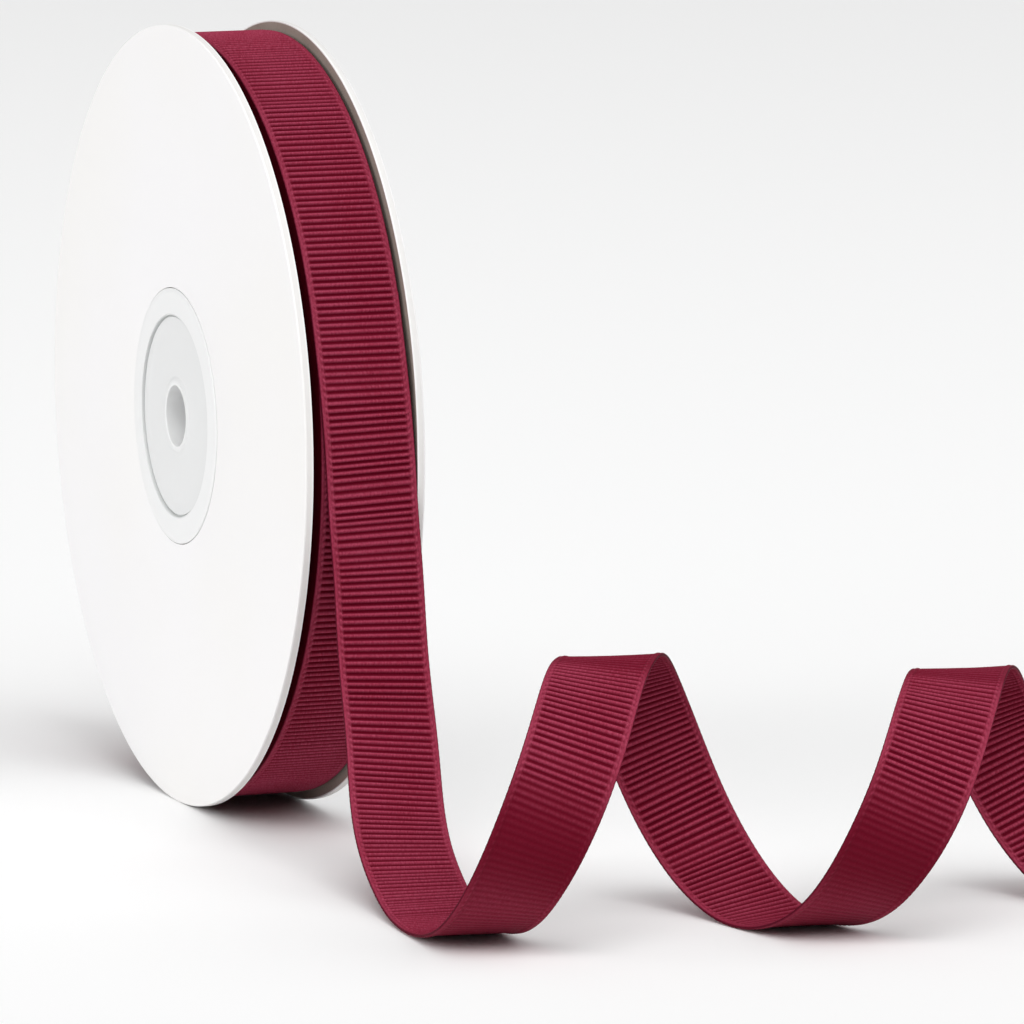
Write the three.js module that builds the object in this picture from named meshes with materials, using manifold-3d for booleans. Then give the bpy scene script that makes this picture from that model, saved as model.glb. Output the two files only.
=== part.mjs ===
// Ribbon spool: two white-faced card flanges on a snap-together plastic hub, a wound pack of
// 16 mm grosgrain ribbon, and the ribbon's loose end, drawn off at the front and curled on the table.
//
// Millimetres, +Z up. +Y is the spool's axis, from the near flange to the far flange. The loose
// end leaves the pack at +X. The origin is on the table, under the middle of the spool.
import * as THREE from 'three';
import { mergeVertices } from 'three/addons/utils/BufferGeometryUtils.js';
import Module from 'manifold-3d';

const wasm = await Module();
wasm.setup();

// Flanges
const SIDES = 96;                 // flats round every large disc, one of them flat on the table
const FLANGE_R = 68;
const SPOOL_WIDTH = 21.4;         // over the outer faces of the two facings
const BOARD_T = 0.9;
const FACING_T = 0.25;
const GAP = 0.25;                 // between pieces that touch on the real spool
const RIM_STEP = 0.3;             // how far a facing's edge stays inside its board's edge

// Hub
const HUB_SIDES = 48;
const BORE_R = 5.3;
const BOSS_R = 6.8;
const DISH_R = 17.6;
const BARREL_R = 19.1;
const LIP_R = 22.3;
const LIP_RAISE = 0.25;           // lip face above the facing
const DISH_DEPTH = 0.6;
const WEB_T = 1.2;
const PLUG_R = 17.2;              // outside of the near half's snap sleeve
const PLUG_INNER_R = 15.9;
const PLUG_REACH = 5.5;           // how far the sleeve goes past the middle
const BEAD = 0.25;
const FINGER_SLOT = 1.6;
const FINGER_SLOTS_ACROSS = 3;

// Ribbon
const RIBBON_WIDTH = 16;
const RIBBON_T = 0.4;             // in the middle
const RIBBON_EDGE_T = 0.34;       // at the selvages, which are thinner
const PACK_R = 66.5;
const PACK_INNER_R = 19.8;
const PACK_Y = 0.7;               // the pack lies a little nearer the far flange

// Loose end: a lead-off chosen by hand, then loose curls worked out by a formula
const LEAD_R = PACK_R + 0.3 + RIBBON_T / 2 + 0.05;
const LEAD_WRAP_DEG = [25, 16, 8];
const LEAD_OFF = [
  [69.2, 1.5, 52],
  [71.1, 1.4, 43],
  [81.6, -0.4, 22],
  [98, -4.1, 8.4],
  [125.7, -7.3, 0.7],
  [150.4, -7.8, 5.8],
];
const CURL_MIDDLE = [139.5, 15.75];      // the first crest, seen from above
const CURL_AXIS_DEG = 81;                // direction of the curls' axis, from +X towards +Y
const CURL_PITCH = 58.9;
const CURL_DEPTH_R = 24;
const CURL_HEIGHT_R = 22.3;
const CURL_SHRINK = 0.09;                // loss of height radius per turn
const CURL_FROM_TURN = -0.3;             // rising to the first crest, which is turn 0
const CURL_TO_TURN = 1.55;               // just past the third trough
const CURL_LIFT = 0.55;                  // centreline above the table at a trough
const CURL_POINTS_PER_TURN = 12;
const TAIL_STEPS = 80;
const TAIL_COLUMNS = 6;           // flats across each face, so that the twisted strip keeps its thickness

const HALF = SPOOL_WIDTH / 2;
const BOARD_OUTER = HALF - FACING_T - GAP;
const BOARD_INNER = BOARD_OUTER - BOARD_T;
const LIP_OUTER = HALF + LIP_RAISE;
const WEB_OUTER = LIP_OUTER - DISH_DEPTH;
const WEB_INNER = WEB_OUTER - WEB_T;
const AXIS_Z = FLANGE_R * Math.cos(Math.PI / SIDES);
const NEAR = -1;
const FAR = 1;

const card = { color: 0x9a8f86, roughness: 0.95, metalness: 0 };
const whitePaper = { color: 0xf4f3f1, roughness: 0.75, metalness: 0 };
const hubPlastic = { color: 0xe9ebea, roughness: 0.45, metalness: 0 };
const clearTape = { color: 0xd9d2bd, roughness: 0.35, metalness: 0 };
const wineRibbon = { color: 0x7a0c2e, roughness: 0.7, metalness: 0 };

const spool = new THREE.Group();
spool.name = 'ribbon_spool';

function addPiece(name, geometry, look) {
  const piece = new THREE.Mesh(geometry, new THREE.MeshStandardMaterial(look));
  piece.name = name;
  spool.add(piece);
  return piece;
}

// A solid turned about +Y from a closed outline of [radius, y] points, with a flat at the bottom.
function turned(outline, sides) {
  const points = outline.map(([radius, y]) => new THREE.Vector2(radius, y));
  points.push(points[0].clone());
  return new THREE.LatheGeometry(points, sides, Math.PI / sides, 2 * Math.PI);
}

function ring(innerR, outerR, fromY, toY) {
  return turned([[innerR, fromY], [outerR, fromY], [outerR, toY], [innerR, toY]], SIDES);
}

function addTurned(name, geometry, look) {
  addPiece(name, geometry, look).position.z = AXIS_Z;
}

function addFlange(side, prefix) {
  const boardY = [side * BOARD_INNER, side * BOARD_OUTER].sort((a, b) => a - b);
  const facingY = [side * (HALF - FACING_T), side * HALF].sort((a, b) => a - b);
  addTurned(`${prefix}_board`, ring(BARREL_R + GAP, FLANGE_R, ...boardY), card);
  addTurned(`${prefix}_facing`, ring(LIP_R + GAP, FLANGE_R - RIM_STEP, ...facingY), whitePaper);
}

// The face that both hub halves show: bore rim, shallow dish and clamping lip.
// Each point is [radius, distance out from the spool's middle].
function hubFace() {
  return [
    [BORE_R, WEB_OUTER + 0.1],
    [BORE_R + 0.3, WEB_OUTER + 0.25],
    [BORE_R + 1, WEB_OUTER + 0.25],
    [BORE_R + 1.4, WEB_OUTER],
    [DISH_R - 0.3, WEB_OUTER],
    [DISH_R, LIP_OUTER],
    [LIP_R - 0.25, LIP_OUTER],
    [LIP_R, LIP_OUTER - 0.2],
    [LIP_R, BOARD_OUTER + GAP],
    [BARREL_R, BOARD_OUTER + GAP],
    [BARREL_R, 0.15],
  ];
}

// The central tube that both halves carry behind the dish.
function hubBoss() {
  return [[BOSS_R, WEB_INNER], [BOSS_R, 1], [BORE_R, 1]];
}

function plugWall() {
  const beadY = PLUG_REACH - 1;
  return [
    [PLUG_R, 0.15],
    [PLUG_R, -beadY + 0.6],
    [PLUG_R + BEAD, -beadY + 0.3],
    [PLUG_R + BEAD, -beadY - 0.2],
    [PLUG_R - 0.3, -PLUG_REACH],
    [PLUG_INNER_R, -PLUG_REACH],
    [PLUG_INNER_R, WEB_INNER],
  ];
}

function socketWall() {
  const wallR = PLUG_R + 0.3;
  const grooveR = wallR + BEAD + 0.1;
  const beadY = PLUG_REACH - 1;
  return [
    [wallR, 0.15],
    [wallR, beadY - 0.8],
    [grooveR, beadY - 0.5],
    [grooveR, beadY + 0.5],
    [wallR, beadY + 0.8],
    [wallR, WEB_INNER],
  ];
}

// The outline of a half is written for +Y, and mirrored for the near side.
function hubHalf(side, wall) {
  const outline = [...hubFace(), ...wall, ...hubBoss()];
  if (side === FAR) outline.reverse();
  return turned(outline.map(([radius, out]) => [radius, side * out]), HUB_SIDES);
}

function toSolid(geometry) {
  const bare = geometry.clone();
  bare.deleteAttribute('normal');
  bare.deleteAttribute('uv');
  const merged = mergeVertices(bare, 1e-4);
  return new wasm.Manifold(new wasm.Mesh({
    numProp: 3,
    vertProperties: new Float32Array(merged.attributes.position.array),
    triVerts: new Uint32Array(merged.index.array),
  }));
}

function toGeometry(solid) {
  const mesh = solid.getMesh();
  const geometry = new THREE.BufferGeometry();
  geometry.setAttribute('position', new THREE.BufferAttribute(mesh.vertProperties, 3));
  geometry.setIndex(new THREE.BufferAttribute(mesh.triVerts, 1));
  geometry.computeVertexNormals();
  return geometry;
}

// Slots across the near half's sleeve leave it as separate snap fingers.
function withSnapFingers(geometry) {
  let solid = toSolid(geometry);
  for (let i = 0; i < FINGER_SLOTS_ACROSS; i += 1) {
    const cutter = new THREE.BoxGeometry(2 * PLUG_R + 4, PLUG_REACH, FINGER_SLOT);
    cutter.translate(0, PLUG_REACH / 2 + 0.8, 0);
    cutter.rotateY((i * Math.PI) / FINGER_SLOTS_ACROSS);
    solid = solid.subtract(toSolid(cutter));
  }
  return toGeometry(solid);
}

// A short strip of tape, bent round the barrel, holds the ribbon's inner end.
function addCoreTape() {
  const innerR = BARREL_R + GAP;
  const outerR = innerR + 0.15;
  const [start, end] = [THREE.MathUtils.degToRad(150), THREE.MathUtils.degToRad(200)];
  const width = 12;
  const outline = new THREE.Shape();
  outline.absarc(0, 0, outerR, start, end, false);
  outline.absarc(0, 0, innerR, end, start, true);
  const strip = new THREE.ExtrudeGeometry(outline, { depth: width, bevelEnabled: false, curveSegments: 14 });
  const tape = addPiece('core_tape', strip, clearTape);
  tape.rotation.x = Math.PI / 2;
  tape.position.set(0, PACK_Y + width / 2, AXIS_Z);
}

function leadPoint(degrees) {
  const angle = THREE.MathUtils.degToRad(degrees);
  return new THREE.Vector3(LEAD_R * Math.cos(angle), PACK_Y, AXIS_Z + LEAD_R * Math.sin(angle));
}

const curlAxis = new THREE.Vector3(
  Math.cos(THREE.MathUtils.degToRad(CURL_AXIS_DEG)),
  Math.sin(THREE.MathUtils.degToRad(CURL_AXIS_DEG)),
  0,
);

// The centreline of the curls. Turn 0 is the first crest, and half turns are troughs.
function curlPoint(turn) {
  const behind = new THREE.Vector3(-curlAxis.y, curlAxis.x, 0);
  const angle = 2 * Math.PI * turn;
  const heightR = CURL_HEIGHT_R * (1 - CURL_SHRINK * turn);
  return new THREE.Vector3(CURL_MIDDLE[0], CURL_MIDDLE[1], CURL_LIFT + heightR * (1 + Math.cos(angle)))
    .addScaledVector(curlAxis, CURL_PITCH * turn)
    .addScaledVector(behind, CURL_DEPTH_R * Math.sin(angle));
}

function tailPoints() {
  const points = LEAD_WRAP_DEG.map(leadPoint);
  points.push(...LEAD_OFF.map((point) => new THREE.Vector3(...point)));
  const count = Math.round((CURL_TO_TURN - CURL_FROM_TURN) * CURL_POINTS_PER_TURN);
  for (let i = 0; i <= count; i += 1) {
    points.push(curlPoint(CURL_FROM_TURN + ((CURL_TO_TURN - CURL_FROM_TURN) * i) / count));
  }
  return points;
}

// A centreline whose flat section lies across the spool's axis at the pack, and across the
// curls' axis from the first trough on.
class RibbonPath extends THREE.CatmullRomCurve3 {
  computeFrenetFrames(segments) {
    const frames = { tangents: [], normals: [], binormals: [] };
    for (let i = 0; i <= segments; i += 1) {
      const tangent = this.getTangentAt(i / segments);
      const swing = THREE.MathUtils.smoothstep(i / segments, 0.1, 0.32);
      const across = new THREE.Vector3(0, 1, 0).lerp(curlAxis, swing);
      const normal = across.addScaledVector(tangent, -across.dot(tangent)).normalize();
      frames.tangents.push(tangent);
      frames.normals.push(normal);
      frames.binormals.push(new THREE.Vector3().crossVectors(tangent, normal));
    }
    return frames;
  }
}

// The ribbon's section: a flat lens, a little thicker in the middle than at its two edges.
function ribbonSection() {
  const face = [];
  for (let i = 0; i <= TAIL_COLUMNS; i += 1) {
    const across = (2 * i) / TAIL_COLUMNS - 1;
    const thickness = RIBBON_T - (RIBBON_T - RIBBON_EDGE_T) * across * across;
    face.push(new THREE.Vector2((across * RIBBON_WIDTH) / 2, thickness / 2));
  }
  const underside = face.map((point) => new THREE.Vector2(point.x, -point.y));
  return new THREE.Shape([...underside, ...face.reverse()]);
}

function addTail() {
  const path = new RibbonPath(tailPoints(), false, 'centripetal');
  const strip = new THREE.ExtrudeGeometry(ribbonSection(), { steps: TAIL_STEPS, extrudePath: path });
  addPiece('ribbon_tail', strip, wineRibbon);
}

addFlange(NEAR, 'near');
addFlange(FAR, 'far');
addTurned('near_hub_half', withSnapFingers(hubHalf(NEAR, plugWall())), hubPlastic);
addTurned('far_hub_half', hubHalf(FAR, socketWall()), hubPlastic);
addCoreTape();
addTurned('ribbon_pack', ring(PACK_INNER_R, PACK_R, PACK_Y - RIBBON_WIDTH / 2, PACK_Y + RIBBON_WIDTH / 2),
  wineRibbon);
addTail();

export default spool;
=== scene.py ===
import math

import bpy
import numpy as np
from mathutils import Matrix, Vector


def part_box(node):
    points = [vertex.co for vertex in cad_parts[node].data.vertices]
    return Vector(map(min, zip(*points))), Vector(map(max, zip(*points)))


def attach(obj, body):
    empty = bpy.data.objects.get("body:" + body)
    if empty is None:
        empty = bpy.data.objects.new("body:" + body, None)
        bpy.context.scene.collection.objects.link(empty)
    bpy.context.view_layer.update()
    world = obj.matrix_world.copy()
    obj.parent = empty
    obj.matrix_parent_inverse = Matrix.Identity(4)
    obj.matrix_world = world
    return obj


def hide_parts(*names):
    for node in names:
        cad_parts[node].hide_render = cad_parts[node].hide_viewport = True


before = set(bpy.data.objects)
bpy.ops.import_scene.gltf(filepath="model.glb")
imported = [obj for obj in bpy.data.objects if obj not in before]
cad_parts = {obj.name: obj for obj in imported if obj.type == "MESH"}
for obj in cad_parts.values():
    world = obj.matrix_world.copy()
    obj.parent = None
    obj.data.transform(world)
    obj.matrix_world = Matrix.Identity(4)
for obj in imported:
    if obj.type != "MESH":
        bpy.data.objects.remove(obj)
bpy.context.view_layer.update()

# Everything below is worked out in millimetres, and turned into metres where a mesh is made.
MM = 0.001
rng = np.random.default_rng(16)

# ---------------------------------------------------------------- sizes from the frame


def cad_box(node):
    """Lowest and highest corner of a CAD node, in millimetres."""
    low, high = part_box(node)
    return np.array(low) / MM, np.array(high) / MM


pack_low, pack_high = cad_box("ribbon_pack")
board_low, board_high = cad_box("far_board")
facing_low, facing_high = cad_box("far_facing")
hub_low, hub_high = cad_box("far_hub_half")

AXIS_Z = (pack_low[2] + pack_high[2]) / 2
PACK_R = (pack_high[0] - pack_low[0]) / 2
PACK_Y = (pack_low[1] + pack_high[1]) / 2
BOARD_R = (board_high[0] - board_low[0]) / 2
BOARD_INNER = board_low[1]
BOARD_OUTER = board_high[1]
FACING_R = (facing_high[0] - facing_low[0]) / 2
FACING_OUTER = facing_high[1]
LIP_R = (hub_high[0] - hub_low[0]) / 2
LIP_OUTER = hub_high[1]

# ---------------------------------------------------------------- ribbon

RIBBON_WIDTH = pack_high[1] - pack_low[1]
PACK_RIBS = 348
RIB_PITCH = 2 * math.pi * PACK_R / PACK_RIBS
RIB_HEIGHT = 0.46
CORE_HALF_T = 0.05                # from the ribbon's middle to the bottom of a groove
SELVAGE = 1.0                     # width of the woven band along each edge
SCALLOP = 0.03                    # how far the very edge draws in at the middle of each rib
SCALLOP_BAND = 0.3                # width of the edge that draws in
RIB_UNEVENNESS = 0.16             # spread of the ribs' heights, as a share of a rib's height
RIB_STRENGTH_LIMITS = (0.6, 1.1)  # lowest and highest rib, as a share of RIB_HEIGHT
SEAM_RIBS = 16                    # ribs beside the pack's seam with the loose end, evenly spaced to meet it
START_DROP = 1.03                 # lowers the loose end's outer face to the pack's, where it starts
RIB_ROWS = 12                     # rows of points along one rib
RIBBON_SHARP_DEG = 75             # only the ribbon's cut edges shade as sharp
OTHER_FACE_UV = 400               # sets the two faces' weave patterns apart, in millimetres
# Columns of points from the middle to one edge, as 16ths of the width; closest in the woven band.
HALF_COLUMNS = (0.0, 2.0, 4.0, 5.6, 6.4, 6.65, 6.85, 7.0, 7.15, 7.3, 7.45, 7.6, 7.8, 7.9, 7.96, 8.0)
COLUMNS = np.array([-c for c in HALF_COLUMNS[:0:-1]] + list(HALF_COLUMNS)) * RIBBON_WIDTH / 16
FLOOR_CLEARANCE = 0.02            # the loose end never reaches lower than this

# The loose end's route, as in the CAD source: it leaves the pack, comes down the front, and curls.
LEAD_R = 66.5 + 0.55              # the pack's radius, and room for the loose end to lie on it
LEAD_WRAP_DEG = (25, 16, 8)
LEAD_OFF = (
    (69.2, 1.5, 52),
    (71.1, 1.4, 43),
    (81.6, -0.4, 22),
    (98, -4.1, 8.4),
    (125.7, -7.3, 0.7),
    (150.4, -7.8, 5.8),
)
CURL_MIDDLE = (139.5, 15.75)
CURL_AXIS_DEG = 81
CURL_PITCH = 58.9
CURL_DEPTH_R = 24
CURL_HEIGHT_R = 22.3
CURL_SHRINK = 0.09
CURL_FROM_TURN = -0.3
CURL_TO_TURN = 1.55
CURL_LIFT = 0.55
CURL_POINTS_PER_TURN = 12
SWING_FROM, SWING_TO = 0.1, 0.32  # where the ribbon's width turns from the spool's axis to the curls'


def smoothstep(x, low, high):
    t = np.clip((x - low) / (high - low), 0, 1)
    return t * t * (3 - 2 * t)


def unit(v):
    return v / np.linalg.norm(v, axis=-1, keepdims=True)


curl_axis = np.array([math.cos(math.radians(CURL_AXIS_DEG)), math.sin(math.radians(CURL_AXIS_DEG)), 0])
curl_behind = np.array([-curl_axis[1], curl_axis[0], 0])


def curl_point(turn):
    """The centreline of the curls. Turn 0 is the first crest, and half turns are troughs."""
    angle = 2 * math.pi * turn
    height_r = CURL_HEIGHT_R * (1 - CURL_SHRINK * turn)
    middle = np.array([*CURL_MIDDLE, CURL_LIFT + height_r * (1 + math.cos(angle))])
    return middle + CURL_PITCH * turn * curl_axis + CURL_DEPTH_R * math.sin(angle) * curl_behind


def route_points():
    wrap = [math.radians(a) for a in LEAD_WRAP_DEG]
    points = [np.array([LEAD_R * math.cos(a), PACK_Y, AXIS_Z + LEAD_R * math.sin(a)]) for a in wrap]
    points += [np.array(p, float) for p in LEAD_OFF]
    turns = CURL_TO_TURN - CURL_FROM_TURN
    count = round(turns * CURL_POINTS_PER_TURN)
    points += [curl_point(CURL_FROM_TURN + turns * i / count) for i in range(count + 1)]
    return np.array(points)


def smooth_curve(points, samples):
    """A natural cubic spline through the points, as many samples of it, and the length up to each."""
    knots = np.concatenate([[0], np.cumsum(np.linalg.norm(np.diff(points, axis=0), axis=1))])
    h = np.diff(knots)
    n = len(points)
    system = np.eye(n)
    right = np.zeros((n, 3))
    for i in range(1, n - 1):
        system[i, i - 1:i + 2] = h[i - 1], 2 * (h[i - 1] + h[i]), h[i]
        right[i] = 6 * ((points[i + 1] - points[i]) / h[i] - (points[i] - points[i - 1]) / h[i - 1])
    second = np.linalg.solve(system, right)
    at = np.linspace(0, knots[-1], samples)
    i = np.clip(np.searchsorted(knots, at, side="right") - 1, 0, n - 2)
    a, b, w = (knots[i + 1] - at)[:, None], (at - knots[i])[:, None], h[i][:, None]
    line = (second[i] * a**3 + second[i + 1] * b**3) / (6 * w)
    line += (points[i] / w - second[i] * w / 6) * a + (points[i + 1] / w - second[i + 1] * w / 6) * b
    along = np.concatenate([[0], np.cumsum(np.linalg.norm(np.diff(line, axis=0), axis=1))])
    return line, along


ROUTE_SAMPLES = 6000
route, route_along = smooth_curve(route_points(), ROUTE_SAMPLES)
ROUTE_LENGTH = route_along[-1]


def route_frames(along):
    """Middle, width direction and face direction of the loose end at each length along it."""
    middle = np.stack([np.interp(along, route_along, route[:, k]) for k in range(3)], axis=1)
    slope = np.gradient(route, route_along, axis=0)
    tangent = unit(np.stack([np.interp(along, route_along, slope[:, k]) for k in range(3)], axis=1))
    swing = smoothstep(along / ROUTE_LENGTH, SWING_FROM, SWING_TO)[:, None]
    across = np.array([0, 1, 0]) * (1 - swing) + curl_axis * swing
    width = unit(across - (across * tangent).sum(1, keepdims=True) * tangent)
    return middle, width, np.cross(tangent, width)


# ---------------------------------------------------------------- camera

CAMERA_AZIMUTH, CAMERA_ELEVATION = math.radians(69.37), math.radians(8.5)
CAMERA_PLACE = Vector((1.6306, -0.5621, 0.3082))
CAMERA_LENS = 351.6


def add_camera():
    data = bpy.data.cameras.new("camera")
    data.lens = CAMERA_LENS
    data.sensor_width = 36
    data.clip_end = 50
    camera = bpy.data.objects.new("camera", data)
    bpy.context.scene.collection.objects.link(camera)
    camera.location = CAMERA_PLACE
    back = Vector((
        math.sin(CAMERA_AZIMUTH) * math.cos(CAMERA_ELEVATION),
        -math.cos(CAMERA_AZIMUTH) * math.cos(CAMERA_ELEVATION),
        math.sin(CAMERA_ELEVATION),
    ))
    camera.rotation_mode = "QUATERNION"
    camera.rotation_quaternion = (-back).to_track_quat("-Z", "Y")
    bpy.context.scene.camera = camera


add_camera()

# ---------------------------------------------------------------- mesh helpers


def add_piece(name, points, faces, material, body, replaces, uv=None, marks=None, sharp_deg=40):
    """A smooth-shaded mesh from points in millimetres. uv and marks are per point."""
    mesh = bpy.data.meshes.new(name)
    mesh.from_pydata((np.asarray(points) * MM).tolist(), [], faces)
    if uv is not None:
        corner = np.zeros(len(mesh.loops), np.int32)
        mesh.loops.foreach_get("vertex_index", corner)
        layer = mesh.uv_layers.new(name="UVMap")
        layer.data.foreach_set("uv", np.asarray(uv, np.float32)[corner].ravel())
    for key, values in (marks or {}).items():
        layer = mesh.attributes.new(key, "FLOAT", "POINT")
        layer.data.foreach_set("value", np.asarray(values, np.float32))
    mesh.validate()
    mesh.shade_smooth()
    mesh.set_sharp_from_angle(angle=math.radians(sharp_deg))
    mesh.materials.append(material)
    piece = bpy.data.objects.new(name, mesh)
    bpy.context.scene.collection.objects.link(piece)
    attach(piece, body)
    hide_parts(replaces)
    return piece


def grid_faces(rows, columns, wrap_rows=False, wrap_columns=False, start=0):
    """Quads of a grid of points, numbered row by row."""
    faces = []
    for r in range(rows if wrap_rows else rows - 1):
        for c in range(columns if wrap_columns else columns - 1):
            r2, c2 = (r + 1) % rows, (c + 1) % columns
            faces.append((
                start + r * columns + c,
                start + r * columns + c2,
                start + r2 * columns + c2,
                start + r2 * columns + c,
            ))
    return faces


def rounded(outline, steps=4):
    """A closed outline of (radius, y, corner radius) points with its corners rounded to arcs."""
    out = []
    for i, (x, y, r) in enumerate(outline):
        here = np.array([x, y], float)
        if r <= 0:
            out.append(here)
            continue
        before = np.array(outline[i - 1][:2], float) - here
        after = np.array(outline[(i + 1) % len(outline)][:2], float) - here
        r = min(r, 0.49 * np.linalg.norm(before), 0.49 * np.linalg.norm(after))
        a, b = here + r * before / np.linalg.norm(before), here + r * after / np.linalg.norm(after)
        for t in np.linspace(0, 1, steps + 1):
            out.append((1 - t) ** 2 * a + 2 * t * (1 - t) * here + t * t * b)
    return np.array(out)


def turned_points(outline, angles):
    """Points of an outline of (radius, y) turned about the spool's axis."""
    radius, y = outline[:, 0], outline[:, 1]
    x = np.cos(angles)[:, None] * radius
    z = np.sin(angles)[:, None] * radius
    return np.stack([x, np.broadcast_to(y, x.shape), AXIS_Z + z], axis=-1).reshape(-1, 3)


def full_turn(segments):
    return np.linspace(0, 2 * math.pi, segments, endpoint=False)


def turned(outline, segments):
    """Points and faces of a closed outline turned all round. The outline runs clockwise seen with y up."""
    points = turned_points(outline, full_turn(segments))
    return points, grid_faces(segments, len(outline), wrap_rows=True, wrap_columns=True)


def wavy(along, period, terms, size):
    """Smooth seeded noise that repeats after period."""
    out = np.zeros_like(along, dtype=float)
    for k in terms:
        out += rng.normal() * np.sin(2 * math.pi * k * along / period + rng.uniform(0, 2 * math.pi))
    return size * out / math.sqrt(len(terms))


# ---------------------------------------------------------------- materials

# The ribs' tops: the dye in patches and threads, made paler and pinker as a painted sheen.
RIDGE_DEEP = (0.3, 0.029, 0.062, 1)
RIDGE_PALE = (0.34, 0.041, 0.083, 1)
RIDGE_THREAD = (0.4, 0.066, 0.118, 1)
# GROOVE: painted shade at the bottom of the grooves, also the colour of the dark flecks.
GROOVE = (0.115, 0.0004, 0.01, 1)
# A painted shadow along the ribbon's very edges.
EDGE_SHADE = (0.1, 0.003, 0.015, 1)
PAPER = (0.902, 0.893, 0.9, 1)
PAPER_CREAM = (0.893, 0.882, 0.868, 1)
CARD_INNER = (0.3, 0.25, 0.215, 1)
CARD_CLOUD = (0.36, 0.31, 0.27, 1)
CARD_SPECK = (0.16, 0.13, 0.11, 1)
CARD_CUT = (0.8, 0.79, 0.775, 1)
CARD_CORNER = (0.95, 0.95, 0.945, 1)
HUB_LIP = (0.84, 0.843, 0.843, 1)
HUB_DISH = (0.765, 0.77, 0.77, 1)
HUB_SEAM_SHADE = (0.5, 0.52, 0.515, 1)
TAPE_FILM = (0.66, 0.6, 0.46, 1)


class Nodes:
    """Short names for adding shader nodes to one material."""

    def __init__(self, name):
        self.material = bpy.data.materials.new(name)
        self.material.use_nodes = True
        self.tree = self.material.node_tree
        self.shader = self.tree.nodes["Principled BSDF"]

    def add(self, kind, settings=None, **inputs):
        node = self.tree.nodes.new(kind)
        for key, value in (settings or {}).items():
            setattr(node, key, value)
        for key, value in inputs.items():
            self.set(node.inputs[key.replace("_", " ")], value)
        return node

    def set(self, socket, value):
        if isinstance(value, bpy.types.NodeSocket):
            self.tree.links.new(value, socket)
        else:
            socket.default_value = value

    def math(self, operation, a, b):
        node = self.add("ShaderNodeMath", {"operation": operation})
        self.set(node.inputs[0], a)
        self.set(node.inputs[1], b)
        return node.outputs[0]

    def ramp(self, value, low, high):
        """0 at low, 1 at high."""
        node = self.add("ShaderNodeMapRange", {"interpolation_type": "SMOOTHSTEP"})
        self.set(node.inputs["Value"], value)
        self.set(node.inputs["From Min"], low)
        self.set(node.inputs["From Max"], high)
        return node.outputs["Result"]

    def mix(self, factor, a, b):
        node = self.add("ShaderNodeMix", {"data_type": "RGBA"})
        self.set(node.inputs["Factor"], factor)
        self.set(node.inputs["A"], a)
        self.set(node.inputs["B"], b)
        return node.outputs["Result"]

    def noise(self, scale, detail, vector=None):
        node = self.add("ShaderNodeTexNoise", Scale=scale, Detail=detail)
        self.set(node.inputs["Vector"], vector or self.place())
        return node.outputs["Fac"]

    def place(self):
        return self.add("ShaderNodeTexCoord").outputs["Object"]

    def uv(self, along, across):
        """The ribbon's own coordinates in millimetres, stretched."""
        scale = self.add("ShaderNodeVectorMath", {"operation": "MULTIPLY"})
        self.set(scale.inputs[0], self.add("ShaderNodeTexCoord").outputs["UV"])
        scale.inputs[1].default_value = (along, across, 1)
        return scale.outputs[0]

    def bump(self, height, strength, distance):
        node = self.add("ShaderNodeBump", Strength=strength, Distance=distance, Height=height)
        return node.outputs["Normal"]

    def mark(self, name):
        """A number that the mesh carries at each point."""
        return self.add("ShaderNodeAttribute", {"attribute_name": name}).outputs["Fac"]


def grosgrain():
    """Ribbed polyester ribbon: fine lengthwise warp threads over thick crosswise cords."""
    n = Nodes("wine_grosgrain")
    shade = n.mark("shade")
    threads = n.noise(1.0, 2.0, n.uv(0.9, 3.4))
    flecks = n.noise(1.0, 3.0, n.uv(2.2, 2.8))
    cloud = n.noise(1.0, 2.0, n.uv(0.035, 0.09))
    ridge = n.mix(n.ramp(cloud, 0.3, 0.7), RIDGE_DEEP, RIDGE_PALE)
    ridge = n.mix(n.math("MULTIPLY", n.ramp(threads, 0.42, 0.66), 0.55), ridge, RIDGE_THREAD)
    # The shade mark paints shade: GROOVE in the grooves, and the ridge colour with its painted sheen on the
    # ribs' tops.
    colour = n.mix(n.ramp(shade, 0.1, 1.0), GROOVE, ridge)
    colour = n.mix(n.math("MULTIPLY", n.ramp(flecks, 0.42, 0.7), 0.32), colour, GROOVE)
    # A painted shadow along the ribbon's very edges.
    colour = n.mix(n.mark("edge_shade"), colour, EDGE_SHADE)
    n.set(n.shader.inputs["Base Color"], colour)
    n.set(n.shader.inputs["Roughness"], n.math("ADD", n.math("MULTIPLY", threads, 0.25), 0.5))
    n.shader.inputs["Specular IOR Level"].default_value = 0.05
    height = n.math("ADD", threads, n.math("MULTIPLY", flecks, 0.5))
    n.set(n.shader.inputs["Normal"], n.bump(height, 0.8, 0.0001))
    return n.material


def coated_paper():
    """White paper, faintly warm in patches, with fine fibres."""
    n = Nodes("white_paper")
    cloud = n.noise(14.0, 2.0)
    colour = n.mix(n.ramp(cloud, 0.35, 0.7), PAPER, PAPER_CREAM)
    n.set(n.shader.inputs["Base Color"], colour)
    n.shader.inputs["Roughness"].default_value = 0.62
    n.shader.inputs["Specular IOR Level"].default_value = 0.3
    fibre = n.math("ADD", n.noise(900.0, 4.0), n.noise(5200.0, 2.0))
    n.set(n.shader.inputs["Normal"], n.bump(fibre, 0.25, 0.00004))
    return n.material


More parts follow.
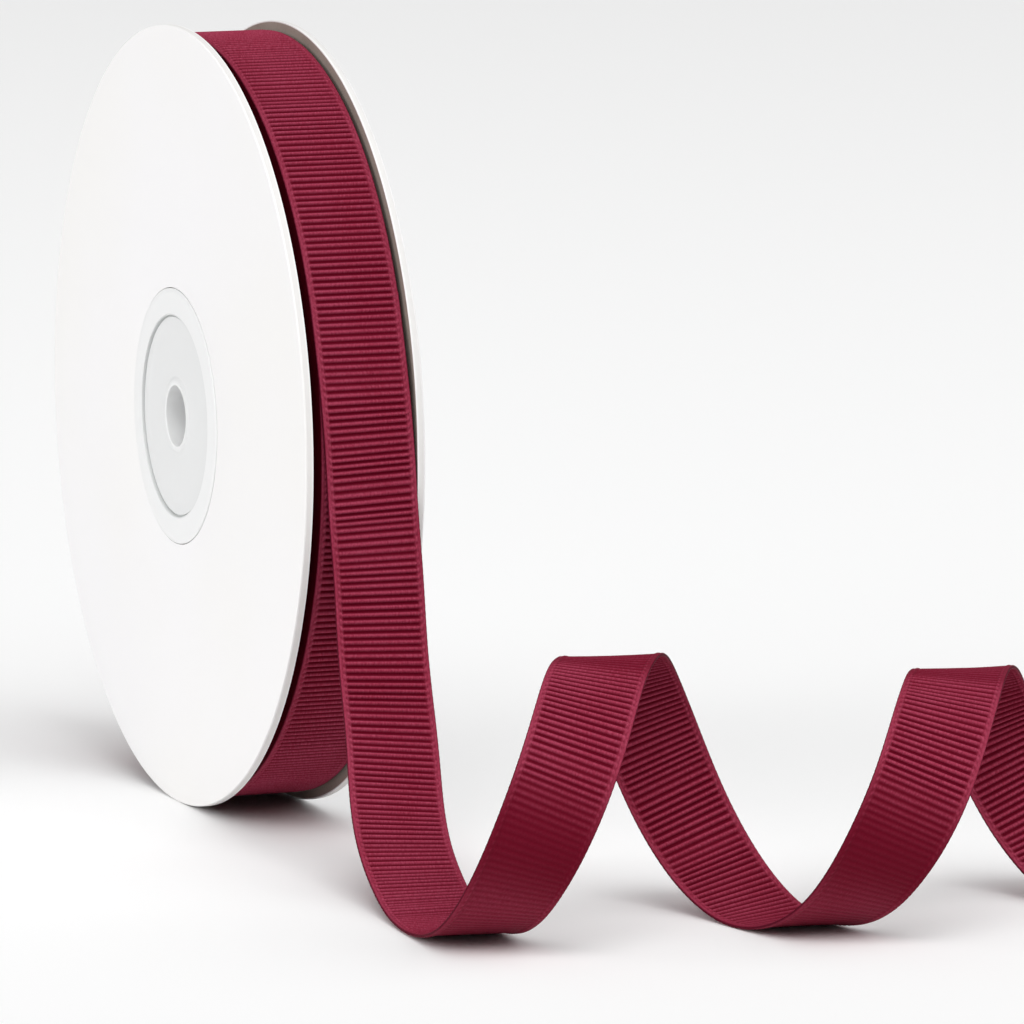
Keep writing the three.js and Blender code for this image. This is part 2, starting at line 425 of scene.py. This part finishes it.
def greyboard():
    """Recycled board: speckled grey-brown inside, with a pale cut edge."""
    n = Nodes("greyboard")
    speck = n.noise(2600.0, 3.0)
    cloud = n.noise(60.0, 3.0)
    colour = n.mix(n.ramp(cloud, 0.3, 0.7), CARD_INNER, CARD_CLOUD)
    colour = n.mix(n.math("MULTIPLY", n.ramp(speck, 0.55, 0.75), 0.5), colour, CARD_SPECK)
    edge = n.mark("cut_edge")
    corner = n.mark("corner_line")
    colour = n.mix(corner, n.mix(edge, colour, CARD_CUT), CARD_CORNER)
    n.set(n.shader.inputs["Base Color"], colour)
    n.shader.inputs["Roughness"].default_value = 0.85
    n.shader.inputs["Specular IOR Level"].default_value = 0.2
    n.set(n.shader.inputs["Normal"], n.bump(speck, 0.4, 0.00006))
    return n.material


def hub_plastic():
    """Moulded polypropylene: cool white, satin, a little greyer in the dish."""
    n = Nodes("hub_plastic")
    sunk = n.mark("sunk")
    seam = n.mark("seam")
    # The seam mark is painted shade in the groove round the dish and along the lip's inner corner.
    colour = n.mix(seam, n.mix(sunk, HUB_LIP, HUB_DISH), HUB_SEAM_SHADE)
    n.set(n.shader.inputs["Base Color"], colour)
    n.set(n.shader.inputs["Roughness"], n.math("ADD", n.math("MULTIPLY", n.noise(300.0, 3.0), 0.15), 0.33))
    n.shader.inputs["Specular IOR Level"].default_value = 0.45
    n.shader.inputs["Subsurface Weight"].default_value = 0.15
    n.shader.inputs["Subsurface Radius"].default_value = (0.001, 0.001, 0.001)
    n.set(n.shader.inputs["Normal"], n.bump(n.noise(1800.0, 2.0), 0.12, 0.00003))
    return n.material


def tape_film():
    n = Nodes("tape_film")
    n.shader.inputs["Base Color"].default_value = TAPE_FILM
    n.set(n.shader.inputs["Roughness"], n.math("ADD", n.math("MULTIPLY", n.noise(700.0, 2.0), 0.2), 0.2))
    n.set(n.shader.inputs["Normal"], n.bump(n.noise(250.0, 2.0), 0.3, 0.00005))
    return n.material


ribbon_look = grosgrain()
paper_look = coated_paper()
board_look = greyboard()
hub_look = hub_plastic()
tape_look = tape_film()

# ---------------------------------------------------------------- ribbon surface


def ridge(distance, half_width):
    """A rounded ridge, 1 high at distance 0."""
    return np.sqrt(np.clip(1 - (distance / half_width) ** 2, 0, 1))


RIB_SHAPE = 0.9                   # under 1 makes a rib's top broader than its groove
RIB_NOSE = 0.25                   # how much farther a rib's top reaches than its foot
RIB_END = (-0.1, 0.25)            # where a rib fades out, from the woven band's inner side
# The woven band: places and widths as shares of its width, heights as shares of RIB_HEIGHT.
BAND_HEIGHT = 0.34
CORD_MIDDLE, CORD_HALF, CORD_HEIGHT = 0.3, 0.34, 0.36
CHAIN_MIDDLE, CHAIN_HALF, CHAIN_HEIGHT, STITCH_HEIGHT = 0.86, 0.28, 0.12, 0.55
STITCH_LEAN = 0.45                # how many ribs a stitch leans across the band
BAND_KEPT = 0.3                   # share of its relief that the band keeps where ribs are pressed flat
EDGE_KEPT = 0.45                  # share of the height left at the very edge


def surface_height(phase, across, strength):
    """How far the ribbon's face stands over the bottom of its grooves, and a painted shade from 0 (groove)
    to 1 (top).

    Rounded ribs run across the middle. Each ends in a round nose at a woven edge: a chain of
    stitches that lean from rib to rib, and outside it a flat cord.
    """
    from_edge = RIBBON_WIDTH / 2 - np.abs(across)
    rib = (0.5 - 0.5 * np.cos(2 * math.pi * phase)) ** RIB_SHAPE
    nose = RIB_NOSE * (1 - rib)
    ribbed = smoothstep(from_edge, SELVAGE + RIB_END[0] + nose, SELVAGE + RIB_END[1] + nose)
    stitch = 0.5 + 0.5 * np.cos(2 * math.pi * (phase - STITCH_LEAN * from_edge / SELVAGE))
    chain = ridge(from_edge - CHAIN_MIDDLE * SELVAGE, CHAIN_HALF * SELVAGE)
    chain = chain * (CHAIN_HEIGHT + STITCH_HEIGHT * stitch)
    cord = ridge(from_edge - CORD_MIDDLE * SELVAGE, CORD_HALF * SELVAGE) * CORD_HEIGHT
    band = BAND_HEIGHT + np.maximum(chain, cord) * (BAND_KEPT + (1 - BAND_KEPT) * strength)
    edge = smoothstep(from_edge, -0.02, 0.22)
    height = rib * strength * ribbed + (1 - ribbed) * band
    # Painted shade and highlight: dark low in the grooves, light on the ribs' tops and on the raised band.
    shade = (0.5 + (rib - 0.5) * strength) * ribbed + (1 - ribbed) * (band + 0.1)
    return RIB_HEIGHT * height * (EDGE_KEPT + (1 - EDGE_KEPT) * edge), shade


def edge_shade_mark(across):
    """1 along the ribbon's very edges, where a painted shadow darkens them."""
    return 1 - smoothstep(RIBBON_WIDTH / 2 - np.abs(across), 0.02, 0.14)


def rib_rows(count):
    """Each row's place, counted in ribs, for that many ribs."""
    return np.arange(count * RIB_ROWS) / RIB_ROWS


def rib_strengths(along, period, terms):
    """Each row's rib height as a share of RIB_HEIGHT, a little uneven."""
    return np.clip(1 + wavy(along, period, terms, RIB_UNEVENNESS), *RIB_STRENGTH_LIMITS)


def scallop(phase, across):
    """How far the ribbon's very edge draws in."""
    at_edge = np.abs(across) > RIBBON_WIDTH / 2 - SCALLOP_BAND
    return SCALLOP * (1 - np.abs(np.sin(math.pi * phase))) * at_edge


# Places along the curls, in turns past a trough's or a crest's lowest or highest point, between which
# the ribs go from their full height to the pressed one, and from no painted shade to the full painted
# shade, or back.
FLAT_FROM, PAINTED_SHADE_FROM, RISE_OVER = (-0.06, 0.03), (0.12, 0.21), (0.22, 0.33)
CREST_FROM, CREST_FLAT_TO, CREST_PAINTED_SHADE_TO = (-0.08, -0.01), (0.05, 0.15), (0.14, 0.26)
RISE_FLAT, RISE_PAINTED_SHADE = 0.86, 0.52     # share of their height that ribs lose there, and how much painted shade darkens them
CREST_FLAT, CREST_PAINTED_SHADE = 0.5, 0.27
FIRST_TROUGH = -0.5


def pressed_flat_and_painted_shade(along):
    """How much of their height, and how much of their shade mark under the painted shade, the curls' ribs
    keep.

    They lie flat where a trough rests on the table and on the way up from it. From a little farther up,
    shade is painted on them. Over each crest they are stretched a little flatter, and shade is painted
    there too.
    """
    turns = np.linspace(CURL_FROM_TURN, CURL_TO_TURN, 400)
    line = np.array([curl_point(t) for t in turns])
    lengths = np.concatenate([[0], np.cumsum(np.linalg.norm(np.diff(line, axis=0), axis=1))])
    curls_from = ROUTE_LENGTH - lengths[-1]
    per_turn = lengths[-1] / (CURL_TO_TURN - CURL_FROM_TURN)
    turn = CURL_FROM_TURN + (along - curls_from) / per_turn
    past_trough = np.mod(turn + 0.6, 1) - 0.1
    ending = 1 - smoothstep(past_trough, *RISE_OVER)
    flat = smoothstep(past_trough, *FLAT_FROM) * ending * (turn > FIRST_TROUGH - 0.1)
    painted_shade = smoothstep(past_trough, *PAINTED_SHADE_FROM) * ending * (turn > FIRST_TROUGH)
    from_crest = np.mod(turn + 0.5, 1) - 0.5
    crest = smoothstep(from_crest, *CREST_FROM) * (turn > FIRST_TROUGH)
    crest_flat = crest * (1 - smoothstep(from_crest, *CREST_FLAT_TO))
    crest_painted_shade = crest * (1 - smoothstep(from_crest, *CREST_PAINTED_SHADE_TO))
    height = (1 - RISE_FLAT * flat) * (1 - CREST_FLAT * crest_flat)
    shade = (1 - RISE_PAINTED_SHADE * painted_shade) * (1 - CREST_PAINTED_SHADE * crest_painted_shade)
    return height, shade


def add_tail():
    """The loose end: ribs on both faces, woven edges, and a cut end."""
    ribs = int(ROUTE_LENGTH / RIB_PITCH)
    place = rib_rows(ribs)
    uneven = wavy(place * RIB_PITCH, ROUTE_LENGTH, range(3, 60), 0.15) * smoothstep(place, 0, SEAM_RIBS)
    along = np.maximum.accumulate(np.clip(place * RIB_PITCH + uneven, 0, ROUTE_LENGTH))
    middle, width, face = route_frames(along)
    rows, columns = len(along), len(COLUMNS)
    phase, across = np.meshgrid(place, COLUMNS, indexing="ij")
    kept_height, painted_shade_kept = pressed_flat_and_painted_shade(along)
    strength = rib_strengths(along, ROUTE_LENGTH, range(4, 90)) * kept_height
    height, shade = surface_height(phase, across, strength[:, None])
    # Painted shade along the curls: darker up each rising strand and over each crest.
    shade = shade * painted_shade_kept[:, None]
    thin = smoothstep(along, 0, LEAD_R * math.radians(LEAD_WRAP_DEG[0] - LEAD_WRAP_DEG[-1]))
    start = (1 - thin)[:, None]
    sideways = across - np.sign(across) * scallop(phase, across)
    sideways = sideways + wavy(along, ROUTE_LENGTH, range(5, 22), 0.1)[:, None]
    outer = CORE_HALF_T + height - start * START_DROP
    inner = -(CORE_HALF_T + height) * (1 - start) - start * (START_DROP + 0.1)
    base = middle[:, None, :] + sideways[..., None] * width[:, None, :]
    top = base + outer[..., None] * face[:, None, :]
    bottom = base + inner[..., None] * face[:, None, :]
    points = np.concatenate([top, bottom[:, ::-1]], axis=1)
    points[..., 2] = np.maximum(points[..., 2], FLOOR_CLEARANCE)
    loop = 2 * columns
    faces = grid_faces(rows, loop, wrap_columns=True)
    faces.append(tuple(range(loop))[::-1])
    faces.append(tuple((rows - 1) * loop + i for i in range(loop)))
    uv = np.stack([np.broadcast_to(along[:, None], across.shape), across], axis=-1)
    uv = np.concatenate([uv, uv[:, ::-1] + (OTHER_FACE_UV, 0)], axis=1)
    edge_shade = edge_shade_mark(across)
    marks = {
        "shade": np.concatenate([shade, shade[:, ::-1]], axis=1).ravel(),
        "edge_shade": np.concatenate([edge_shade, edge_shade[:, ::-1]], axis=1).ravel(),
    }
    tail = add_piece("ribbon_tail_woven", points.reshape(-1, 3), faces, ribbon_look, "loose_end",
                     "ribbon_tail", uv.reshape(-1, 2), marks, RIBBON_SHARP_DEG)


LAYER_PITCH = 0.28                # one layer of ribbon, wound tight
OUTER_LAYERS_FROM, OUTER_LAYERS_TO = 0.5, 5  # depth below the rim where single layers are modelled
PACK_INNER_R = 19.85
LAYER_INSET = 0.08                # the lower layers' edges stand this far inside the outer layer's
LAYER_UNEVENNESS = 0.035


def add_pack():
    """The wound ribbon: a ribbed outer layer, and the edges of the layers below it."""
    place = rib_rows(PACK_RIBS)
    first = math.radians(LEAD_WRAP_DEG[0])
    from_seam = PACK_RIBS / 2 - np.abs(place - PACK_RIBS / 2)
    uneven = wavy(place, PACK_RIBS, range(5, 60), 0.1) * smoothstep(from_seam, 0, SEAM_RIBS)
    angle = first + 2 * math.pi * (place + uneven) / PACK_RIBS
    phase, across = np.meshgrid(place, COLUMNS, indexing="ij")
    strength = rib_strengths(place, PACK_RIBS, range(5, 110))
    height, shade = surface_height(phase, across, strength[:, None])
    radius = PACK_R - RIB_HEIGHT + height
    x = radius * np.cos(angle)[:, None]
    z = AXIS_Z + radius * np.sin(angle)[:, None]
    y = PACK_Y + across - np.sign(across) * scallop(phase, across)
    points = [np.stack([x, y, z], axis=-1).reshape(-1, 3)]
    uv = [np.stack([place[:, None] * RIB_PITCH + 0 * across, across], axis=-1).reshape(-1, 2)]
    shades = [shade.ravel()]
    edge_shades = [edge_shade_mark(across).ravel()]
    rows, columns = len(place), len(COLUMNS)
    faces = [f[::-1] for f in grid_faces(rows, columns, wrap_rows=True)]
    outer_layers = np.arange(PACK_R - OUTER_LAYERS_FROM, PACK_R - OUTER_LAYERS_TO, -LAYER_PITCH)
    rings = np.concatenate([outer_layers, np.linspace(PACK_R - OUTER_LAYERS_TO - 1, PACK_INNER_R, 24)])
    used = rows * columns
    rim_angle = angle[::RIB_ROWS]
    for side, column in ((-1, 0), (1, columns - 1)):
        layer = rng.normal(0, LAYER_UNEVENNESS, len(rings))
        ring_radius = rings[None, :] + np.zeros((PACK_RIBS, 1))
        ring_y = PACK_Y + side * (RIBBON_WIDTH / 2 - LAYER_INSET + layer[None, :]) + 0 * ring_radius
        ring = np.stack([
            ring_radius * np.cos(rim_angle)[:, None],
            ring_y,
            AXIS_Z + ring_radius * np.sin(rim_angle)[:, None],
        ], axis=-1)
        points.append(ring.reshape(-1, 3))
        uv.append(np.stack([rim_angle[:, None] * ring_radius, ring_radius], axis=-1).reshape(-1, 2))
        # The layers' edges get shade 0, the grooves' dark colour: painted shade on the pack's sides.
        shades.append(np.zeros(ring_radius.size))
        edge_shades.append(np.zeros(ring_radius.size))
        count = len(rings)
        fresh = []
        for k in range(PACK_RIBS):
            rim = [((k * RIB_ROWS + j) % rows) * columns + column for j in range(RIB_ROWS + 1)]
            fresh.append((*rim, used + ((k + 1) % PACK_RIBS) * count, used + k * count))
        fresh += [f[::-1] for f in grid_faces(PACK_RIBS, count, wrap_rows=True, start=used)]
        faces += fresh if side > 0 else [f[::-1] for f in fresh]
        used += PACK_RIBS * count
    inner = [rows * columns, rows * columns + PACK_RIBS * len(rings)]
    last = len(rings) - 1
    for k in range(PACK_RIBS):
        a, b = (inner[0] + i * len(rings) + last for i in (k, (k + 1) % PACK_RIBS))
        c, d = (inner[1] + i * len(rings) + last for i in ((k + 1) % PACK_RIBS, k))
        faces.append((a, b, c, d))
    marks = {"shade": np.concatenate(shades), "edge_shade": np.concatenate(edge_shades)}
    add_piece("ribbon_pack_wound", np.concatenate(points), faces, ribbon_look, "spool",
              "ribbon_pack", np.concatenate(uv), marks, RIBBON_SHARP_DEG)


# ---------------------------------------------------------------- flanges

DISC_SEGMENTS = 288
CUT_ROUGHNESS = 0.012             # unevenness of the board's cut edge


def side_outline(side, outline):
    """An outline of (radius, distance out, corner radius) put on the near (-1) or far (1) side."""
    placed = [(r, side * out, corner) for r, out, corner in outline]
    return placed if side > 0 else placed[::-1]


def add_board(side, name):
    hole = LIP_R - 2.9
    outline = rounded(side_outline(side, [
        (hole, BOARD_INNER, 0.05),
        (hole, BOARD_OUTER, 0.05),
        (BOARD_R - 2.5, BOARD_OUTER, 0),
        (BOARD_R, BOARD_OUTER + 0.18, 0.1),
        (BOARD_R, BOARD_INNER + 0.34, 0),
        (BOARD_R, BOARD_INNER, 0.12),
        (BOARD_R - 0.12, BOARD_INNER, 0),
        (BOARD_R - 0.3, BOARD_INNER, 0),
        (BOARD_R - 1.2, BOARD_INNER, 0),
        (BOARD_R - 2.5, BOARD_INNER, 0),
    ]))
    points, faces = turned(outline, DISC_SEGMENTS)
    radius = np.hypot(points[:, 0], points[:, 2] - AXIS_Z)
    rough = rng.normal(0, CUT_ROUGHNESS, len(points)) * (radius > BOARD_R - 0.4)
    points[:, 0] *= 1 - np.abs(rough) / BOARD_R
    points[:, 2] = AXIS_Z + (points[:, 2] - AXIS_Z) * (1 - np.abs(rough) / BOARD_R)
    cut = smoothstep(radius, BOARD_R - 0.3, BOARD_R - 0.1)
    corner = cut * (1 - smoothstep(np.abs(points[:, 1]), BOARD_INNER + 0.25, BOARD_INNER + 0.35))
    add_piece(f"{name}_card", points, faces, board_look, "spool", name, None,
              {"cut_edge": cut, "corner_line": corner})


def add_facing(side, name):
    hole = LIP_R + 0.12
    under = BOARD_OUTER + 0.02
    outline = rounded(side_outline(side, [
        (hole, under, 0),
        (hole, FACING_OUTER, 0.08),
        (BOARD_R * 0.5, FACING_OUTER, 0),
        (FACING_R - 1.2, FACING_OUTER, 0),
        (FACING_R + 0.2, FACING_OUTER - 0.03, 0.12),
        (FACING_R + 0.28, under + 0.16, 0.02),
        (FACING_R - 1.0, under, 0),
    ]))
    points, faces = turned(outline, DISC_SEGMENTS)
    add_piece(f"{name}_paper", points, faces, paper_look, "spool", name)


# ---------------------------------------------------------------- hub

HUB_SEGMENTS = 192
BORE_R, BOSS_R = 5.3, 6.8
DISH_R, BARREL_R = 17.6, 19.1
PLUG_R, PLUG_INNER_R, PLUG_REACH = 17.2, 15.9, 5.5
DISH_DEPTH, WEB_T = 0.6, 1.2
WEB_OUTER = LIP_OUTER - DISH_DEPTH
WEB_INNER = WEB_OUTER - WEB_T
FINGERS = 6
FINGER_SLOT = 1.6


def hub_face():
    """Bore rim, dish, seam groove and clamping lip, as (radius, distance out, corner radius)."""
    return [
        (BORE_R, WEB_OUTER + 0.28, 0.15),
        (BORE_R + 0.95, WEB_OUTER + 0.28, 0.18),
        (BORE_R + 1.5, WEB_OUTER + 0.04, 0.3),
        (BORE_R + 5, WEB_OUTER, 0),
        (DISH_R - 2.5, WEB_OUTER, 1.2),
        (DISH_R - 0.35, WEB_OUTER + 0.16, 0.05),
        (DISH_R - 0.3, WEB_OUTER - 0.12, 0.05),
        (DISH_R - 0.02, WEB_OUTER - 0.12, 0.05),
        (DISH_R, LIP_OUTER - 0.02, 0.12),
        (DISH_R + 0.6, LIP_OUTER, 0.3),
        (LIP_R - 0.7, LIP_OUTER, 0.4),
        (LIP_R, LIP_OUTER - 0.14, 0.14),
        (LIP_R, BOARD_OUTER + 0.04, 0.05),
        (BARREL_R, BOARD_OUTER + 0.04, 0.1),
        (BARREL_R, 0.1, 0.12),
    ]


def hub_back():
    return [(BOSS_R, WEB_INNER, 0.4), (BOSS_R, 1, 0.15), (BORE_R, 1, 0.15)]


def finger_points(side):
    """One snap finger's outline, its root sunk in the barrel's wall."""
    bead = PLUG_REACH - 1
    return rounded(side_outline(side, [
        (PLUG_INNER_R, 0.6, 0),
        (PLUG_R, 0.6, 0),
        (PLUG_R, -bead + 0.6, 0.1),
        (PLUG_R + 0.25, -bead + 0.3, 0.1),
        (PLUG_R + 0.25, -bead - 0.2, 0.15),
        (PLUG_R - 0.3, -PLUG_REACH, 0.15),
        (PLUG_INNER_R, -PLUG_REACH, 0.15),
    ]))


def add_hub_half(side, name):
    wall_r = PLUG_INNER_R if side < 0 else PLUG_R + 0.3
    wall = [(wall_r, 0.1, 0.12), (wall_r, WEB_INNER, 0.5)]
    outline = rounded(side_outline(side, hub_face() + wall + hub_back()))
    points, faces = turned(outline, HUB_SEGMENTS)
    if side < 0:
        blank = finger_points(side)
        half = math.pi / FINGERS - FINGER_SLOT / 2 / PLUG_R
        for k in range(FINGERS):
            angles = np.linspace(-half, half, 24) + (2 * k + 1) * math.pi / FINGERS
            start, size = len(points), len(blank)
            points = np.concatenate([points, turned_points(blank, angles)])
            faces += grid_faces(len(angles), size, wrap_columns=True, start=start)
            faces.append(tuple(start + i for i in range(size))[::-1])
            faces.append(tuple(start + (len(angles) - 1) * size + i for i in range(size)))
    radius = np.hypot(points[:, 0], points[:, 2] - AXIS_Z)
    depth = np.abs(points[:, 1])
    sunk = (1 - smoothstep(radius, DISH_R - 0.2, DISH_R + 0.15)) * (radius > BORE_R + 0.3)
    # Painted shade: in the thin groove round the dish, and along the lip's inner corner.
    groove = (np.abs(radius - (DISH_R - 0.15)) < 0.2) & (depth < WEB_OUTER)
    brim_shade = (np.abs(radius - (DISH_R + 0.1)) < 0.15) & (depth > LIP_OUTER - 0.2)
    add_piece(f"{name}_moulded", points, faces, hub_look, "spool", name, None,
              {"sunk": sunk, "seam": 0.6 * groove + 0.4 * brim_shade}, sharp_deg=50)


TAPE_FROM_DEG, TAPE_TO_DEG = 150, 200
TAPE_CLEARANCE, TAPE_T = 0.28, 0.12


def add_core_tape():
    """A strip of film bent round the barrel, with faint ripples."""
    low, high = cad_box("core_tape")
    across = np.linspace(low[1], high[1], 30)
    angles = np.radians(np.linspace(TAPE_FROM_DEG, TAPE_TO_DEG, 48))
    angle, y = np.meshgrid(angles, across, indexing="ij")
    lift = 0.02 * np.sin(y * 2.3) * np.sin(angle * 40)
    layers = []
    for radius in (BARREL_R + TAPE_CLEARANCE, BARREL_R + TAPE_CLEARANCE + TAPE_T):
        r = radius + lift
        layers.append(np.stack([r * np.cos(angle), y, AXIS_Z - r * np.sin(angle)], axis=-1))
    points = np.concatenate([layers[0], layers[1][:, ::-1]], axis=1)
    rows, loop = points.shape[:2]
    faces = grid_faces(rows, loop, wrap_columns=True)
    faces.append(tuple(range(loop))[::-1])
    faces.append(tuple((rows - 1) * loop + i for i in range(loop)))
    add_piece("core_tape_film", points.reshape(-1, 3), faces, tape_look, "spool", "core_tape")


add_tail()
add_pack()
for side, name in ((-1, "near"), (1, "far")):
    add_board(side, f"{name}_board")
    add_facing(side, f"{name}_facing")
    add_hub_half(side, f"{name}_hub_half")
add_core_tape()

# ---------------------------------------------------------------- stage and light

# The floor is in metres.
FLOOR_HALF_SIZE = 7.0
FLOOR_FAR_AT = 1.9                # distance from the origin at which the floor is quite FLOOR_FAR; the greying is a painted fall-off of light
FLOOR_NEAR = (0.96, 0.96, 0.96, 1)
FLOOR_FAR = (0.81, 0.81, 0.81, 1)


def add_floor():
    """A wide pale floor that turns a little greyer far behind the spool, a painted fall-off of the light.
    """
    mesh = bpy.data.meshes.new("floor")
    half = FLOOR_HALF_SIZE
    corners = [(-half, -half, 0), (half, -half, 0), (half, half, 0), (-half, half, 0)]
    mesh.from_pydata(corners, [], [(0, 1, 2, 3)])
    floor = bpy.data.objects.new("floor", mesh)
    bpy.context.scene.collection.objects.link(floor)
    n = Nodes("pale_floor")
    away = n.add("ShaderNodeVectorMath", {"operation": "LENGTH"})
    n.set(away.inputs[0], n.place())
    far = n.ramp(away.outputs["Value"], 0.0, FLOOR_FAR_AT)
    n.set(n.shader.inputs["Base Color"], n.mix(far, FLOOR_NEAR, FLOOR_FAR))
    n.shader.inputs["Roughness"].default_value = 0.8
    n.shader.inputs["Specular IOR Level"].default_value = 0.0
    mesh.materials.append(n.material)


def add_sun(name, azimuth_deg, elevation_deg, softness_deg, strength):
    """A distant soft light that comes from the given direction."""
    data = bpy.data.lights.new(name, "SUN")
    data.angle = math.radians(softness_deg)
    data.energy = strength
    light = bpy.data.objects.new(name, data)
    azimuth, elevation = math.radians(azimuth_deg), math.radians(elevation_deg)
    toward = Vector((
        math.sin(azimuth) * math.cos(elevation),
        -math.cos(azimuth) * math.cos(elevation),
        math.sin(elevation),
    ))
    light.rotation_mode = "QUATERNION"
    light.rotation_quaternion = (-toward).to_track_quat("-Z", "Y")
    bpy.context.scene.collection.objects.link(light)


def add_world(strength):
    world = bpy.data.worlds.new("studio")
    world.use_nodes = True
    world.node_tree.nodes["Background"].inputs["Color"].default_value = (1, 1, 1, 1)
    world.node_tree.nodes["Background"].inputs["Strength"].default_value = strength
    bpy.context.scene.world = world


add_floor()
add_world(strength=0.215)
add_sun("key", azimuth_deg=78, elevation_deg=54, softness_deg=50, strength=1.62)
add_sun("right", azimuth_deg=150, elevation_deg=45, softness_deg=70, strength=0.94)
add_sun("front", azimuth_deg=20, elevation_deg=30, softness_deg=50, strength=0.6)
add_sun("disc", azimuth_deg=-8, elevation_deg=15, softness_deg=40, strength=0.83)
bpy.context.scene.view_settings.view_transform = "Standard"
